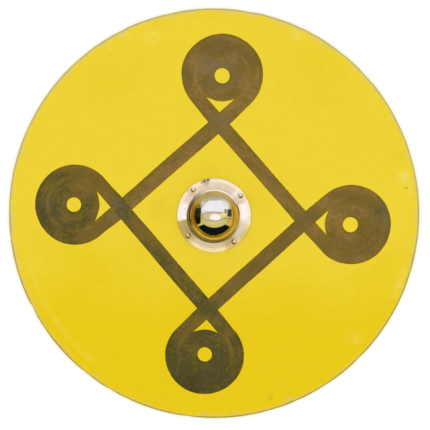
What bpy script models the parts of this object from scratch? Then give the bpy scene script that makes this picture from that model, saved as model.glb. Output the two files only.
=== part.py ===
"""A dished round shield of painted wood with a metal boss, lying face up on its rim.

The board is one shallow dish with a flat seat in the middle and a hole for the hand. A domed boss
covers the hole, and four rivets hold it. Two of the rivets also hold the wooden grip that crosses
the hole behind. Metres, +Z up, with the origin on the floor under the centre.
"""

import math

import bmesh
import bpy
from mathutils import Matrix, Vector

# Board
DIAMETER = 0.880
BOARD_THICKNESS = 0.010
SEAT_RADIUS = 0.096
DISH_ANGLE = math.radians(14.0)
HOLE_RADIUS = 0.051
RIM_ROUNDING = 0.0035
FOOT_PLANED = 0.0011

# Boss
FLANGE_RADIUS = 0.079
BOSS_THICKNESS = 0.0015
DOME_RADIUS = 0.0520
DOME_WALL = 0.008
NECK_FILLET = 0.0045

# Rivets, numbered from the upper right, anticlockwise
RIVET_CIRCLE_RADIUS = 0.0702
RIVET_DEGREES = (37.0, 129.0, 218.0, 307.0)
RIVETS_IN_GRIP = (0, 2)
HEAD_RADIUS = 0.0054
HEAD_HEIGHT = 0.0032
SHANK_RADIUS = 0.0023
TAIL_RADIUS = 0.0050
TAIL_HEIGHT = 0.0020

# Grip
GRIP_ANGLE = math.radians(37.5)
GRIP_LENGTH = 0.184
GRIP_END_WIDTH = 0.036
GRIP_WAIST_WIDTH = 0.028
GRIP_END_THICKNESS = 0.012
GRIP_WAIST_THICKNESS = 0.024
STRAIGHT_SHARE = 0.2
WAIST_SHARE = 0.42
LANDING_SHARE = 0.62
GRIP_ROUNDING = 0.006

# Clearance between neighbours, and the fineness of the curves
GAP = 0.0003
DISH_STEPS = 6
ROUNDING_STEPS = 3
DOME_STEPS = 9
BOARD_TURN_STEPS = 96
BOSS_TURN_STEPS = 48
RIVET_TURN_STEPS = 16
RIVET_HEAD_STEPS = 4
GRIP_CUTS_ALONG = 9
GRIP_ROUNDING_STEPS = 3
GRIP_EDGE_ANGLE = math.radians(50.0)

# Worked out from the sizes above
HALF_BOARD = BOARD_THICKNESS / 2
ROUNDING_REACH = (HALF_BOARD - RIM_ROUNDING) * math.sin(DISH_ANGLE)
RIM_MIDDLE_RADIUS = DIAMETER / 2 - ROUNDING_REACH - RIM_ROUNDING * (1 - math.cos(DISH_ANGLE))
RIM_MIDDLE_HEIGHT = HALF_BOARD * math.cos(DISH_ANGLE) - FOOT_PLANED
DISH_CURVE = (RIM_MIDDLE_RADIUS - SEAT_RADIUS) / math.sin(DISH_ANGLE)
DISH_FALL = DISH_CURVE * (1 - math.cos(DISH_ANGLE))
SEAT_HEIGHT = RIM_MIDDLE_HEIGHT + DISH_FALL
BOARD_FACE = SEAT_HEIGHT + HALF_BOARD
BOARD_BACK = SEAT_HEIGHT - HALF_BOARD
FLANGE_UNDERSIDE = BOARD_FACE + GAP
FLANGE_TOP = FLANGE_UNDERSIDE + BOSS_THICKNESS
DOME_CENTRE_HEIGHT = FLANGE_TOP + DOME_WALL
GRIP_TOP = BOARD_BACK - GAP


def clear_scene():
    for obj in list(bpy.data.objects):
        bpy.data.objects.remove(obj, do_unlink=True)


def make_collection(name):
    collection = bpy.data.collections.new(name)
    bpy.context.scene.collection.children.link(collection)
    return collection


def make_material(name, colour, roughness, metallic=0.0):
    material = bpy.data.materials.new(name)
    material.use_nodes = True
    shader = material.node_tree.nodes["Principled BSDF"]
    shader.inputs["Base Color"].default_value = (*colour, 1.0)
    shader.inputs["Roughness"].default_value = roughness
    shader.inputs["Metallic"].default_value = metallic
    return material


def add_object(name, mesh, collection, material=None):
    obj = bpy.data.objects.new(name, mesh)
    collection.objects.link(obj)
    if material:
        mesh.materials.append(material)
    return obj


def arc(centre, radius, start, end, steps):
    """Points (radius, height) on an arc, both ends included, with angles from the outward direction."""
    angles = [start + (end - start) * step / steps for step in range(steps + 1)]
    return [(centre[0] + radius * math.cos(a), centre[1] + radius * math.sin(a)) for a in angles]


def dish_line(offset, end_angle):
    """The dish from the seat's edge outwards, moved off the board's middle line: up is positive."""
    centre = (SEAT_RADIUS, SEAT_HEIGHT - DISH_CURVE)
    return arc(centre, DISH_CURVE + offset, math.pi / 2, math.pi / 2 - end_angle, DISH_STEPS)


def board_profile():
    """Face, rounded rim, edge, planed foot and back."""
    edge = Vector((math.sin(DISH_ANGLE), math.cos(DISH_ANGLE)))
    outward = Vector((math.cos(DISH_ANGLE), -math.sin(DISH_ANGLE)))
    middle = Vector((RIM_MIDDLE_RADIUS, RIM_MIDDLE_HEIGHT))

    rounding_angle = RIM_ROUNDING / DISH_CURVE
    face = [(HOLE_RADIUS, BOARD_FACE)] + dish_line(HALF_BOARD, DISH_ANGLE - rounding_angle)
    rounding_centre = middle + edge * (HALF_BOARD - RIM_ROUNDING) - outward * RIM_ROUNDING
    rounding = arc(rounding_centre, RIM_ROUNDING, math.pi / 2 - DISH_ANGLE, -DISH_ANGLE, ROUNDING_STEPS)
    foot_outside = middle - edge * (RIM_MIDDLE_HEIGHT / edge.y)
    foot_angle = math.acos((DISH_CURVE - SEAT_HEIGHT) / (DISH_CURVE - HALF_BOARD))
    back = dish_line(-HALF_BOARD, foot_angle)[::-1] + [(HOLE_RADIUS, BOARD_BACK)]
    return face + rounding[1:] + [tuple(foot_outside)] + back


def boss_profile():
    """Outside from the crown to the flange's edge, then the underside and the inside of the dome."""
    dome_centre = (0.0, DOME_CENTRE_HEIGHT)
    neck_centre = (DOME_RADIUS + NECK_FILLET, FLANGE_TOP + NECK_FILLET)
    crown = arc(dome_centre, DOME_RADIUS, math.pi / 2, 0.0, DOME_STEPS)
    neck = arc(neck_centre, NECK_FILLET, math.pi, 1.5 * math.pi, ROUNDING_STEPS)
    flange_edge = [(FLANGE_RADIUS, FLANGE_TOP), (FLANGE_RADIUS, FLANGE_UNDERSIDE)]
    neck_inside = arc(neck_centre, NECK_FILLET + BOSS_THICKNESS, 1.5 * math.pi, math.pi, ROUNDING_STEPS)
    dome_inside = arc(dome_centre, DOME_RADIUS - BOSS_THICKNESS, 0.0, math.pi / 2, DOME_STEPS)
    crown[0] = (0.0, crown[0][1])
    dome_inside[-1] = (0.0, dome_inside[-1][1])
    return crown + neck + flange_edge + neck_inside + dome_inside


def rivet_profile(back_height):
    """A domed head on the flange, a shank through to back_height, and a spread tail behind."""
    seat = FLANGE_TOP + GAP
    sphere_radius = (HEAD_RADIUS**2 + HEAD_HEIGHT**2) / (2 * HEAD_HEIGHT)
    spread = math.asin(HEAD_RADIUS / sphere_radius)
    sphere_centre = (0.0, seat + HEAD_HEIGHT - sphere_radius)
    head = arc(sphere_centre, sphere_radius, math.pi / 2, math.pi / 2 - spread, RIVET_HEAD_STEPS)
    head[0] = (0.0, head[0][1])
    shank = [(SHANK_RADIUS, seat), (SHANK_RADIUS, back_height)]
    tail = [
        (TAIL_RADIUS, back_height),
        (TAIL_RADIUS, back_height - TAIL_HEIGHT / 2),
        (TAIL_RADIUS / 2, back_height - TAIL_HEIGHT),
        (0.0, back_height - TAIL_HEIGHT),
    ]
    return head + shank + tail


def turned(name, profile, closed, steps, collection, material):
    """A body turned round Z from a profile that runs down its outer side."""
    points = [(radius, 0.0, height) for radius, height in profile]
    edges = [(i, i + 1) for i in range(len(points) - 1)]
    if closed:
        edges.append((len(points) - 1, 0))
    mesh = bpy.data.meshes.new(name)
    mesh.from_pydata(points, edges, [])
    obj = add_object(name, mesh, collection, material)
    screw = obj.modifiers.new("Turn", "SCREW")
    screw.axis = "Z"
    screw.angle = 2 * math.pi
    screw.steps = steps
    screw.render_steps = steps
    screw.use_merge_vertices = True
    screw.merge_threshold = 0.00001
    screw.use_smooth_shade = True
    return obj


def rivet_place(index):
    angle = math.radians(RIVET_DEGREES[index])
    return RIVET_CIRCLE_RADIUS * math.cos(angle), RIVET_CIRCLE_RADIUS * math.sin(angle)


def make_rivets(collection, brass):
    for index in range(len(RIVET_DEGREES)):
        back_height = BOARD_BACK - GAP
        if index in RIVETS_IN_GRIP:
            back_height = GRIP_TOP - GRIP_END_THICKNESS - GAP
        rivet = turned(
            f"rivet_{index + 1}", rivet_profile(back_height), False, RIVET_TURN_STEPS, collection, brass
        )
        rivet.location = (*rivet_place(index), 0.0)


def make_hole_cutters(collection):
    """One cylinder for each rivet, longer than the stack that the rivet holds together."""
    top = FLANGE_TOP + BOARD_THICKNESS
    bottom = GRIP_TOP - GRIP_WAIST_THICKNESS
    for index in range(len(RIVET_DEGREES)):
        shape = bmesh.new()
        bmesh.ops.create_cone(
            shape,
            cap_ends=True,
            segments=RIVET_TURN_STEPS,
            radius1=SHANK_RADIUS + GAP,
            radius2=SHANK_RADIUS + GAP,
            depth=top - bottom,
        )
        mesh = bpy.data.meshes.new("rivet_hole")
        shape.to_mesh(mesh)
        shape.free()
        cutter = add_object(f"rivet_hole_{index + 1}", mesh, collection)
        cutter.location = (*rivet_place(index), (top + bottom) / 2)
        cutter.hide_render = True
        cutter.display_type = "WIRE"


def drill(obj, cutters):
    holes = obj.modifiers.new("Rivet holes", "BOOLEAN")
    holes.operation = "DIFFERENCE"
    holes.operand_type = "COLLECTION"
    holes.collection = cutters
    holes.solver = "EXACT"


def make_grip(collection, wood):
    """A carved bar that lies flat on the board at its ends and is deeper and narrower at its waist."""
    shape = bmesh.new()
    bmesh.ops.create_cube(shape, size=1.0)
    along = [edge for edge in shape.edges if abs(edge.verts[0].co.x - edge.verts[1].co.x) > 0.5]
    bmesh.ops.subdivide_edges(shape, edges=along, cuts=GRIP_CUTS_ALONG, use_grid_fill=True)
    for vert in shape.verts:
        share = 2 * abs(vert.co.x)
        landing = min(1.0, max(0.0, (share - WAIST_SHARE) / (LANDING_SHARE - WAIST_SHARE)))
        landing *= landing * (3 - 2 * landing)
        spread = max(0.0, (share - STRAIGHT_SHARE) / (1 - STRAIGHT_SHARE)) ** 2
        width = GRIP_WAIST_WIDTH + (GRIP_END_WIDTH - GRIP_WAIST_WIDTH) * spread
        thickness = GRIP_WAIST_THICKNESS + (GRIP_END_THICKNESS - GRIP_WAIST_THICKNESS) * landing
        vert.co.x *= GRIP_LENGTH
        vert.co.y *= width
        vert.co.z = (vert.co.z - 0.5) * thickness
    mesh = bpy.data.meshes.new("grip")
    shape.to_mesh(mesh)
    shape.free()
    grip = add_object("grip", mesh, collection, wood)
    rounding = grip.modifiers.new("Rounded edges", "BEVEL")
    rounding.width = GRIP_ROUNDING
    rounding.segments = GRIP_ROUNDING_STEPS
    rounding.limit_method = "ANGLE"
    rounding.angle_limit = GRIP_EDGE_ANGLE
    grip.matrix_world = Matrix.Translation((0, 0, GRIP_TOP)) @ Matrix.Rotation(GRIP_ANGLE, 4, "Z")
    return grip


def main():
    clear_scene()
    shield = make_collection("round_shield")
    cutters = make_collection("cutters")
    painted_wood = make_material("painted_wood", (0.83, 0.63, 0.04), 0.45)
    grip_wood = make_material("grip_wood", (0.30, 0.17, 0.08), 0.55)
    boss_brass = make_material("boss_brass", (0.89, 0.76, 0.48), 0.12, 1.0)
    rivet_brass = make_material("rivet_brass", (0.80, 0.64, 0.36), 0.25, 1.0)

    make_hole_cutters(cutters)
    board = turned("board", board_profile(), True, BOARD_TURN_STEPS, shield, painted_wood)
    boss = turned("boss", boss_profile(), False, BOSS_TURN_STEPS, shield, boss_brass)
    grip = make_grip(shield, grip_wood)
    for obj in (board, boss, grip):
        drill(obj, cutters)
    make_rivets(shield, rivet_brass)


main()
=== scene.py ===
"""The looks of a painted round shield that lies face up on a pale floor.

The board, the boss, the rivets and the grip of the frame are replaced by finer meshes of the same
size. The board's face is yellow with a brown looped square, painted by hand, and worn at the rim.
"""

import random
from functools import partial
from math import acos, asin, atan2, cos, exp, pi, radians, sin

import bmesh
import bpy
from mathutils import Matrix, Vector
from mathutils.noise import noise


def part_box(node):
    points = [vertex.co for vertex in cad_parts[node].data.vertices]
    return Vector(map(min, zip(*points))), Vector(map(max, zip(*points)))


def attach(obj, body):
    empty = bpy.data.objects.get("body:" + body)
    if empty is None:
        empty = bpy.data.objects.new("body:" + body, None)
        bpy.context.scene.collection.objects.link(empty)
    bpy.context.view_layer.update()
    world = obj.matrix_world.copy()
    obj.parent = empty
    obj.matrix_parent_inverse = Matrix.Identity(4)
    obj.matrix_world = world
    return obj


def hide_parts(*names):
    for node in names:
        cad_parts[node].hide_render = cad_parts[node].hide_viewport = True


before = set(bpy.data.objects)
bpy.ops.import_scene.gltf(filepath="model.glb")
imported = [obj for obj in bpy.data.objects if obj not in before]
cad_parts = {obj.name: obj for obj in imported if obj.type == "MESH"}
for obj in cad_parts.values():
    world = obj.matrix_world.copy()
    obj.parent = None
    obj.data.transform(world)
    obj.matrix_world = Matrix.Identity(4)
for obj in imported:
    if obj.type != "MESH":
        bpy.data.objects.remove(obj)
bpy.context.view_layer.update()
scene = bpy.context.scene

# Sizes read from the frame
BOARD_LOW, BOARD_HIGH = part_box("board")
BOSS_LOW, BOSS_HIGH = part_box("boss")
GRIP_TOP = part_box("grip")[1].z
RIM_RADIUS = (BOARD_HIGH.x - BOARD_LOW.x) / 2
BOARD_FACE = BOARD_HIGH.z
FLANGE_RADIUS = (BOSS_HIGH.x - BOSS_LOW.x) / 2
FLANGE_UNDERSIDE = BOSS_LOW.z
CROWN = BOSS_HIGH.z

# Sizes shared with the construction
BOARD_THICKNESS = 0.01
SEAT_RADIUS = 0.096
HOLE_RADIUS = 0.051
DISH_ANGLE = radians(14.0)
RIM_ROUNDING = 0.0035
BOSS_THICKNESS = 0.0015
DOME_RADIUS = 0.052
DOME_WALL = 0.008
NECK_FILLET = 0.0045
RIVETS = ("rivet_1", "rivet_2", "rivet_3", "rivet_4")
SHANK_RADIUS = 0.0023
GRIP_END_THICKNESS = 0.012
GRIP_ANGLE = radians(37.5)

FLAT = (1.0, 1.0, 0.0)
UP = (0.0, 0.0, 1.0)


def rivet_centre(name):
    low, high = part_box(name)
    return Vector(((low.x + high.x) / 2, (low.y + high.y) / 2))


# ----- node trees

class Wire:
    """An output of a node. A sign between wires, numbers and vectors places a Math node."""

    def __init__(self, socket):
        self.socket = socket
        self.tree = socket.id_data
        self.is_vector = socket.type in ("VECTOR", "RGBA")

    def __abs__(self):
        return maths("ABSOLUTE", self)


def add_sign(sign, operation):
    setattr(Wire, f"__{sign}__", lambda self, other: maths(operation, self, other))
    setattr(Wire, f"__r{sign}__", lambda self, other: maths(operation, other, self))


for pair in (("add", "ADD"), ("sub", "SUBTRACT"), ("mul", "MULTIPLY"), ("truediv", "DIVIDE")):
    add_sign(*pair)


class Outputs:
    """The outputs of a node, by name or number."""

    def __init__(self, node):
        self.sockets = node.outputs

    def __getitem__(self, key):
        return Wire(self.sockets[key])


def feed(socket, value):
    """Joins a wire to an input, or sets the input to a number, a vector or a colour."""
    if isinstance(value, Wire):
        value.tree.links.new(value.socket, socket)
    elif socket.type == "RGBA":
        socket.default_value = (*value[:3], 1.0)
    elif socket.type == "VECTOR" and isinstance(value, (int, float)):
        socket.default_value = (value, value, value)
    else:
        socket.default_value = value


def source(tree, kind):
    """A node that needs no inputs."""
    return Outputs(tree.nodes.new("ShaderNode" + kind))


def add(kind, *values, options=None, **inputs):
    """Adds a node beside the wires that feed it, in order or by input name. None leaves an input alone."""
    wires = [value for value in (*values, *inputs.values()) if isinstance(value, Wire)]
    node = wires[0].tree.nodes.new("ShaderNode" + kind)
    for name, value in (options or {}).items():
        setattr(node, name, value)
    for socket, value in zip(node.inputs, values):
        if value is not None:
            feed(socket, value)
    for name, value in inputs.items():
        feed(node.inputs[name], value)
    return Outputs(node)


def maths(operation, *values):
    """A Math node, or a Vector Math node where a value is a vector."""
    vectors = any(isinstance(value, tuple) or getattr(value, "is_vector", False) for value in values)
    made = add("VectorMath" if vectors else "Math", *values, options={"operation": operation})
    return made["Vector" if vectors and operation not in ("LENGTH", "DOT_PRODUCT") else "Value"]


most = partial(maths, "MAXIMUM")
least = partial(maths, "MINIMUM")
above = partial(maths, "GREATER_THAN")
fraction = partial(maths, "FRACT")
length = partial(maths, "LENGTH")
unit = partial(maths, "NORMALIZE")
dot = partial(maths, "DOT_PRODUCT")


def axis_part(vector, axis):
    """One part of a vector, along X, Y or Z."""
    return add("SeparateXYZ", vector)[axis]


def turn(place, angle, axis="Z"):
    return add("VectorRotate", options={"rotation_type": f"{axis}_AXIS"}, Vector=place, Angle=angle)[0]


def fade(value, low, high, at_low=0.0, at_high=1.0):
    """A smooth step from at_low to at_high as the value goes from low to high."""
    return add("MapRange", value, low, high, at_low, at_high, options={"interpolation_type": "SMOOTHSTEP"})[0]


def within(value, start, full, ebb, end):
    """1 from full to ebb, fading to 0 at the start and at the end."""
    return fade(value, start, full) * fade(value, end, ebb)


def stripe(value, middle, half_width, full=0.0):
    """1 up to full from the middle, fading to 0 at half_width from it."""
    return fade(abs(value - middle), half_width, full)


def mix(amount, first, second, kind="FLOAT", mode="MIX"):
    """Goes from the first to the second as the amount goes from 0 to 1."""
    index = ("FLOAT", "VECTOR", "RGBA").index(kind)
    skipped = [None] * (2 * index + 1)
    return add("Mix", amount, *skipped, first, second, options={"data_type": kind, "blend_type": mode})[index]


def lay_coats(base, *coats):
    """Lays coats of colour over a base: each is how much of it there is, its colour, and perhaps its mode."""
    for amount, colour, *mode in coats:
        base = mix(amount, base, colour, "RGBA", *mode)
    return base


def texture(place, scale, detail=2.0, roughness=0.5):
    """A noise from 0 to 1 at so many spots a metre."""
    return add("TexNoise", Vector=place, Scale=scale, Detail=detail, Roughness=roughness)["Fac"]


def wander(place, scale, detail=2.0):
    """A noise vector that wanders round zero, by up to a half each way."""
    return add("TexNoise", Vector=place, Scale=scale, Detail=detail)["Color"] - 0.5


def shader_of(material):
    return material.node_tree.nodes["Principled BSDF"].inputs


def start_material(name, metallic=0.0, specular=0.5):
    """A material with one Principled shader, and its object coordinates."""
    material = bpy.data.materials.new(name)
    material.use_nodes = True
    shader = shader_of(material)
    shader["Metallic"].default_value = metallic
    shader["Specular IOR Level"].default_value = specular
    return material, source(material.node_tree, "TexCoord")["Object"]


def finish_surface(material, colour, roughness, height, depth):
    """Joins a colour, a roughness and a height in metres times depth to the material's shader."""
    shader = shader_of(material)
    feed(shader["Base Color"], colour)
    feed(shader["Roughness"], roughness)
    feed(shader["Normal"], add("Bump", Strength=1.0, Distance=depth, Height=height)["Normal"])
    return material


# ----- shared finishes

def streaks(along, across, bristle, run):
    """Bristle marks of a stroke: fine ridges across it that run on along it, and slow changes of load."""
    along *= run
    across *= bristle
    ridges = texture(along + across * UP, 1.0, 3.0, 0.6)
    load = texture(along * 0.8 + across * 0.09 * UP, 1.0, 3.0, 0.6)
    return ridges, load


def scratches(place, angle, spacing, amount):
    """Hairlines in one direction, in patches: 1 in a scratch and 0 beside it."""
    place = turn(place, angle)
    bend = add("TexNoise", Vector=place, Scale=18.0, Detail=1.0)["Color"]
    place = (place + bend * 0.006) / spacing
    hairlines = stripe(texture(place * (1.0, 0.02, 1.0), 1.0, 1.0), 0.5, 0.012)
    patches = texture(place * (0.25, 0.06, 0.25), 1.0)
    least_patch = (1.0 - amount) * 0.75
    return hairlines * fade(patches, least_patch, least_patch + 0.08)


def make_grain():
    """A node group of wood grain along Y: uneven growth bands, fibres and pores, each from 0 to 1."""
    tree = bpy.data.node_groups.new("Wood grain", "ShaderNodeTree")
    new_socket = tree.interface.new_socket
    new_socket(name="Vector", in_out="INPUT", socket_type="NodeSocketVector")
    new_socket(name="Spread", in_out="INPUT", socket_type="NodeSocketFloat")
    for name in ("Bands", "Fibres", "Pores"):
        new_socket(name=name, in_out="OUTPUT", socket_type="NodeSocketFloat")
    given = Outputs(tree.nodes.new("NodeGroupInput"))
    made = tree.nodes.new("NodeGroupOutput").inputs
    place = given["Vector"]
    stretched = place * (1.0, 0.16, 1.0)
    figure = texture(stretched, 3.2, 2.0, 0.4)
    ring = fraction((figure * 1.1 + axis_part(stretched, "X")) * given["Spread"])
    strength = fade(texture(stretched, 14.0), 0.3, 0.7, 0.35, 1.0)
    pores = add("TexVoronoi", Vector=place * (1.0, 0.07, 1.0), Scale=420.0)["Distance"]
    feed(made["Bands"], within(ring, 0.25, 0.9, 0.9, 1.0) * strength)
    feed(made["Fibres"], texture(place * (1.0, 0.03, 1.0), 900.0, 3.0, 0.65))
    feed(made["Pores"], fade(pores, 0.32, 0.12))
    return tree


GRAIN = make_grain()


def sector(place, first, last, soft_first, soft_last):
    """1 between two directions seen from above, in degrees, soft inside the first and inside the last."""
    middle = radians((first + last) / 2)
    half = radians((last - first) / 2)
    turned = turn(place, -middle)
    angle = maths("ARCTAN2", axis_part(turned, "Y"), axis_part(turned, "X"))
    return within(angle, -half, radians(soft_first) - half, half - radians(soft_last), half)


def near(place, x, y, radius):
    """1 at a point, fading to 0 at a radius from it, seen from above."""
    return fade(length((place - (x, y, 0.0)) * FLAT), radius, 0.0)


def add_marks(place, marks, broken=1.0):
    """Several marks, each with its x, y, radius and strength, as one mask, broken up by another."""
    mask = 0.0
    for *spot, strength in marks:
        mask = most(mask, near(place, *spot) * strength)
    return mask * broken


# ----- the painted knot

# A looped square: four straight bands cross at its corners, and each pair turns back round a loop.
KNOT_CENTRE = Vector((-0.0021, 0.0, 0.0))
# Each corner, at the right, top, left and bottom, as laid out by hand: its direction in degrees, how far
# out the bands cross, how far out the loop and its bare dot lie, and the loop's and the dot's radius
CORNERS = (
    (-4.0, 0.1962, 0.2954, 0.2928, 0.085, 0.0157),
    (86.3, 0.1965, 0.2998, 0.2966, 0.0864, 0.0156),
    (175.7, 0.1954, 0.2957, 0.2968, 0.085, 0.0151),
    (266.5, 0.2004, 0.3016, 0.299, 0.0841, 0.0151),
)
# How thin and warm each loop's brown is, from 0 to 1, and how that changes on its disc and on its far side
LOOP_WARMTHS = ((0.64, 0.05, -0.22), (0.77, -0.1, -0.15), (0.35, -0.06, -0.12), (0.0, -0.03, -0.22))
# The bands that follow them, from right to top and on round: half their width, and their warmth
BANDS = ((0.0155, 0.77), (0.0163, 0.82), (0.0158, 0.28), (0.0156, 0.51))
# The middle of a loop's outer stroke, from the loop's centre
RING_LINE = 0.0708
DISC_RADIUS = 0.054
DISC_SPREAD = 0.003
# How far from the knot's middle the disc begins and ends to spread, as the cosine of a direction
DISC_INWARD = -cos(radians(14))
DISC_SIDEWAYS = -cos(radians(40))
SEAM_RADIUS = DISC_RADIUS + 0.004
EDGE_BLUR = 0.0007
JOIN_LENGTH = 0.055
OUTSIDE = -1.0


def knot_point(quarter, distance):
    """A point on the knot's axes, at the right, top, left or bottom."""
    angle = radians(CORNERS[quarter % 4][0])
    return KNOT_CENTRE + distance * Vector((cos(angle), sin(angle), 0.0))


def loop_centre(quarter):
    return knot_point(quarter, CORNERS[quarter % 4][2])


def band_line(quarter):
    """Where the band through one crossing and the next meets the loops beyond them, and its direction."""
    start = knot_point(quarter, CORNERS[quarter % 4][1])
    end = knot_point(quarter + 1, CORNERS[(quarter + 1) % 4][1])
    run = (end - start).normalized()
    first = start + run * (loop_centre(quarter) - start).dot(run)
    last = end + run * (loop_centre(quarter + 1) - end).dot(run)
    return first, last, run


def overlap(quarter, foot, half_width):
    """How far the outer edge of a band would stand out beside a loop where they meet."""
    return (loop_centre(quarter) - foot).length + half_width - CORNERS[quarter % 4][4]


def meeting_warmth(band, corner):
    """The warmth halfway between a band's and that of the loop it meets."""
    return (BANDS[band][1] + LOOP_WARMTHS[corner % 4][0]) / 2


def lay_band(place, quarter):
    """A straight stroke: how deep inside its edge a place lies, along and across it, its warmth and streaks.

    Its outer edge draws in at each end to meet the loop there, and its warmth goes over into the loop's.
    It is streaky but for its ends and where another band crosses it."""
    first, last, run = band_line(quarter)
    half_width, own_warmth = BANDS[quarter]
    offset = place - tuple(first)
    along = dot(offset, tuple(run))
    left = (last - first).length - along
    across = dot(offset, (-run.y, run.x, 0.0))
    from_end = least(along, left)
    drawn_in = fade(along, 0.0, JOIN_LENGTH, overlap(quarter, first, half_width), 0.0)
    drawn_in += fade(left, 0.0, JOIN_LENGTH, overlap(quarter + 1, last, half_width), 0.0)
    depth = least(half_width - drawn_in - across, half_width + across)
    depth = mix(above(from_end, 0.0), OUTSIDE, depth)
    warmth = fade(left, 0.0, JOIN_LENGTH, meeting_warmth(quarter, quarter + 1), own_warmth)
    warmth = fade(along, 0.0, JOIN_LENGTH, meeting_warmth(quarter, quarter), warmth)
    streaky = fade(from_end, 0.0, 0.02) * fade(abs(from_end - RING_LINE), 0.014, 0.036)
    return depth, along * (1.0, 0.0, 0.0), across, warmth, streaky


def lay_loop(place, quarter):
    """A filled loop round a bare dot, told as a band is. Between its two bands it is only its inner disc.

    The outer stroke takes on the warmth of each band where it meets it."""
    middle, outer, bare_dot = CORNERS[quarter][3:]
    own_warmth, disc_change, far_change = LOOP_WARMTHS[quarter]
    bands = quarter, (quarter + 3) % 4
    centre = loop_centre(quarter)
    offset = place - tuple(centre)
    outward = unit(offset)
    facing = dot(outward, tuple((centre - KNOT_CENTRE).normalized()))
    past = dot(offset, tuple(-band_line(bands[0])[2])), dot(offset, tuple(band_line(bands[1])[2]))
    beyond = most(*past)
    ring = mix(above(beyond, 0.0), OUTSIDE, outer - length(offset))
    radius = length(place - tuple(knot_point(quarter, middle)))
    disc = fade(facing, DISC_INWARD, DISC_SIDEWAYS, DISC_RADIUS, DISC_RADIUS + DISC_SPREAD)
    depth = least(most(ring, disc - radius), radius - (bare_dot + EDGE_BLUR))
    streaky = most(fade(abs(beyond), 0.0, 0.02), fade(radius, 0.06, 0.048))
    on_ring = fade(radius, DISC_RADIUS - 0.016, DISC_RADIUS + 0.01)
    warmth = mix(on_ring, disc_change, fade(facing, 0.2, 0.85) * far_change) + own_warmth
    for band, this, other in zip(bands, past, reversed(past)):
        meeting = fade(abs(this), JOIN_LENGTH, 0.0) * on_ring * fade(other, 0.0, -0.03)
        warmth = mix(meeting, warmth, meeting_warmth(band, quarter))
    return depth, outward * RING_LINE, radius - RING_LINE, warmth, streaky


def paint_knot(place):
    """The knot laid stroke by stroke: its depth, along and across its strokes, its warmth, streaks and seams.

    The seams are thin rings where the outer strokes of the loops meet their discs."""
    strokes = [lay_loop(place, quarter) for quarter in range(4)]
    seams = 0.0
    for depth, _, across, _, _ in strokes:
        seam = stripe(across + RING_LINE, SEAM_RADIUS, 0.0055, 0.0005)
        seams = most(seams, seam * fade(depth, -EDGE_BLUR, 0.0))
    for quarter in range(4):
        strokes.append(lay_band(place, quarter))
        seams *= 1.0 - fade(strokes[-1][0], -EDGE_BLUR, 0.006)
    knot = OUTSIDE, (0.0, 0.0, 0.0), 0.0, 0.5, 1.0
    for depth, along, *rest in strokes:
        on = fade(depth, -EDGE_BLUR, 0.0)
        values = [mix(on, below, laid) for below, laid in zip(knot[2:], rest)]
        knot = most(knot[0], depth), mix(on, knot[1], along, "VECTOR"), *values
    return *knot, seams


# ----- paint and wood

YELLOW = (0.818, 0.624, 0.027)
# The deeper yellow laid low on the face as painted shade
LOW_SHADED_YELLOW = (0.782, 0.568, 0.0)
YELLOW_DEEP = (0.77, 0.55, 0.002)
YELLOW_RUBBED = (0.84, 0.67, 0.12)
PRIMER_PINK = (0.74, 0.48, 0.16)
PRIMER_LILAC = (0.66, 0.52, 0.28)
BROWN_THIN = (0.258, 0.15, 0.032)
BROWN = (0.164, 0.102, 0.011)
BROWN_THICK = (0.074, 0.061, 0.008)
BROWN_DARK = (0.048, 0.041, 0.006)
BROWN_RED = (0.165, 0.09, 0.036)
BROWN_OLIVE = (0.14, 0.112, 0.004)
BROWN_GREY = (0.17, 0.13, 0.058)
BROWN_GREY_DARK = (0.07, 0.066, 0.028)
BROWN_EDGE = (1.0, 1.0, 0.3)
SMEAR = (0.55, 0.33, 0.03)
DIRT = (0.09, 0.065, 0.02)
GREY_WOOD = (0.45, 0.42, 0.15)
# Bare rim wood as painted shade: darker and more olive, low on the face
SHADED_OLIVE_WOOD = (0.31, 0.27, 0.03)
EDGE_YELLOW = (0.62, 0.53, 0.04)
PALE_WOOD = (0.56, 0.44, 0.27)
OILED_WOOD = (0.42, 0.245, 0.115)
DARK_GRAIN = (0.235, 0.125, 0.055)
GRIP_WOOD = (0.3, 0.165, 0.07)
GRIP_PALE = (0.4, 0.235, 0.11)
GRIP_GRAIN = (0.17, 0.085, 0.036)
GRIP_PORES = (0.07, 0.04, 0.02)
GRIP_HELD = (0.12, 0.062, 0.028)

# Marks on the face: x, y, radius and strength of each
PALE_SMUDGES = (
    (0.178, 0.386, 0.022, 0.9),
    (0.405, 0.08, 0.022, 1.0),
    (-0.19, 0.388, 0.02, 0.7),
    (-0.13, 0.378, 0.024, 0.7),
    (0.3, -0.262, 0.03, 0.35),
)
# Long scuffs that follow the rim: first and last direction in degrees, radius, half width and strength
RIM_SCUFFS = (
    (190, 233, 0.409, 0.011, 0.24),
    (-27, -12, 0.425, 0.013, 0.6),
    (1, 13, 0.424, 0.01, 0.7),
)
# Where the brown is laid thinner or, below zero, thicker: x, y, radius and change of warmth. The first
# four are where the bands cross.
BROWN_LOADS = (
    (0.194, -0.014, 0.034, -0.22),
    (0.011, 0.196, 0.034, -0.3),
    (-0.197, 0.015, 0.034, -0.26),
    (-0.014, -0.2, 0.038, -0.52),
    (0.232, 0.022, 0.05, 0.32),
    (-0.222, 0.04, 0.045, 0.26),
    (-0.228, -0.024, 0.03, -0.2),
    (-0.27, 0.084, 0.045, 0.22),
    (0.048, 0.244, 0.065, 0.28),
    (0.098, 0.094, 0.06, 0.16),
    (-0.089, 0.094, 0.04, 0.2),
    (-0.029, 0.16, 0.035, -0.18),
    (-0.335, 0.03, 0.05, -0.34),
    (-0.048, -0.376, 0.07, -0.46),
    (0.05, 0.371, 0.035, -0.2),
    (-0.089, -0.132, 0.05, -0.14),
    (-0.3, -0.058, 0.05, -0.24),
    (0.029, -0.157, 0.04, -0.22),
)
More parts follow.
